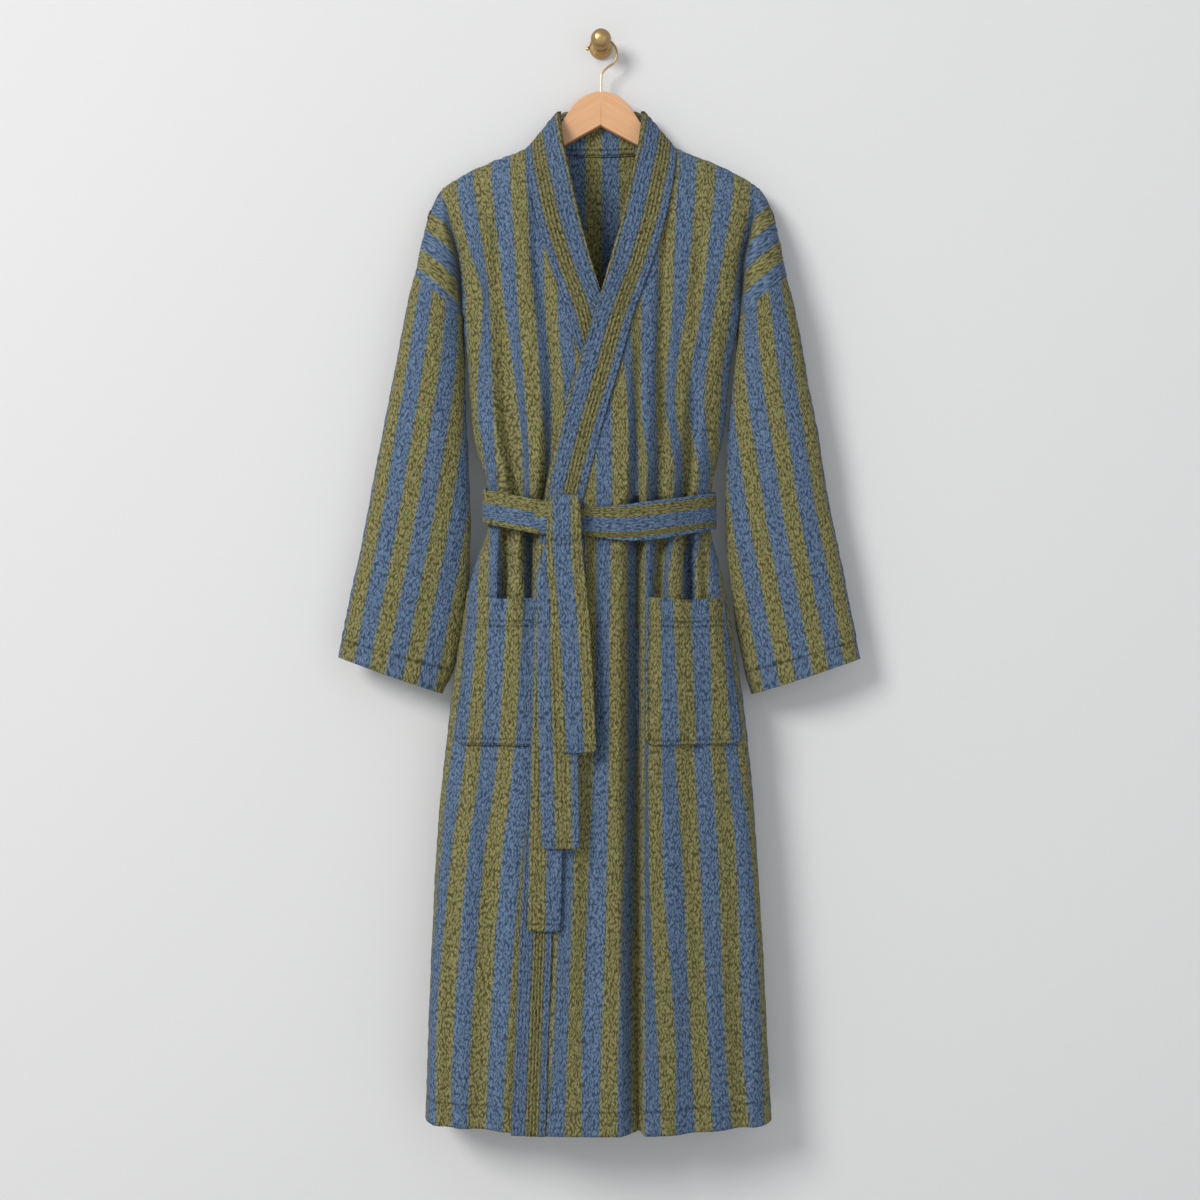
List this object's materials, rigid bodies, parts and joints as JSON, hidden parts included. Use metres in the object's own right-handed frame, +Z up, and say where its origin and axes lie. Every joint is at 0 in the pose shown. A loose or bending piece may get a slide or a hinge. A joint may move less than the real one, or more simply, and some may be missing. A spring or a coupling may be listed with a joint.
{
  "type": "fleece bathrobe on a wooden hanger with wall knob",
  "caption": "Long striped fleece robe with tie belt and patch pockets, hung open at the neck on a wooden hanger whose wire hook rests on a round wall knob.",
  "frame": {"origin": "centre of the knob rose's flat back face, which meets the wall", "axes": "+Z up, +X towards the wearer's left (right in a front view), +Y into the wall; the wall's face is the plane y = 0"},
  "size_m": [0.673, 0.1375, 1.4067],
  "materials": {
    "fleece_blue": "deep plush fleece in lengthwise stripes of slate blue and olive, matte with a soft sheen; the slot holds the blue",
    "fleece_olive": "deep plush fleece in lengthwise stripes of olive and slate blue, matte with a soft sheen; the slot holds the olive",
    "beech": "satin lacquered beech, grain meeting in a chevron at the middle",
    "brass": "softly polished brass"
  },
  "bodies": {
    "root": {"back_panel": "fleece_blue", "front_right": "fleece_blue", "front_left": "fleece_blue", "sleeve_right": "fleece_blue", "sleeve_left": "fleece_blue", "band_right": "fleece_olive", "band_left": "fleece_olive", "band_back_neck": "fleece_olive", "pocket_right": "fleece_olive", "pocket_left": "fleece_olive", "belt_waist": "fleece_olive", "belt_knot": "fleece_olive", "belt_tail_back": "fleece_olive", "belt_tail_middle": "fleece_olive", "belt_tail_front": "fleece_olive", "hanger_right": "beech", "hanger_left": "beech", "hanger_hook": "brass", "wall_knob": "brass", "wall_rose": "brass"}
  },
  "joints": []
}
